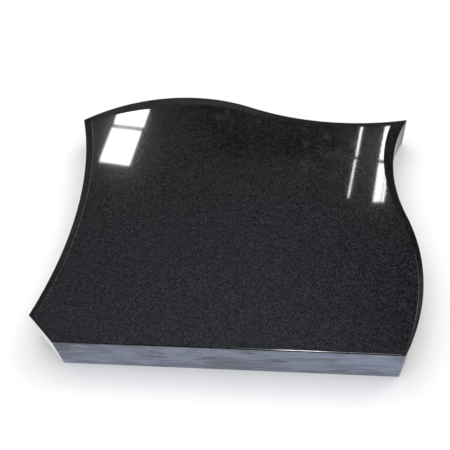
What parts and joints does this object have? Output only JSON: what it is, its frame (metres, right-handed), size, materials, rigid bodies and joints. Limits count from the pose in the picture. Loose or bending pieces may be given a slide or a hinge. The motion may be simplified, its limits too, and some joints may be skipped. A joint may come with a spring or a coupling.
{
  "type": "headstone",
  "caption": "Polished black granite headstone slab with a wave top, one hollow side, one S-curved side, a polished bevel and a sawn foot, lying on its back.",
  "frame": {"origin": "middle of the underside, which is the stone's back", "axes": "the stone lies on its back: +Z out of the polished face, +Y from the sawn foot to the wave top, +X to the right of a person looking at the face. Turned 90 degrees about +X, so that +Y points up, it stands on its foot with the face to -Y"},
  "size_m": [0.72, 0.6414, 0.08],
  "materials": {
    "polished_granite": "mirror-polished black granite with a fine grey speckle on the face, bevel and edges; fine-sawn and unpolished, bluish grey, on the foot"
  },
  "bodies": {
    "root": {"headstone": "polished_granite"}
  },
  "joints": []
}
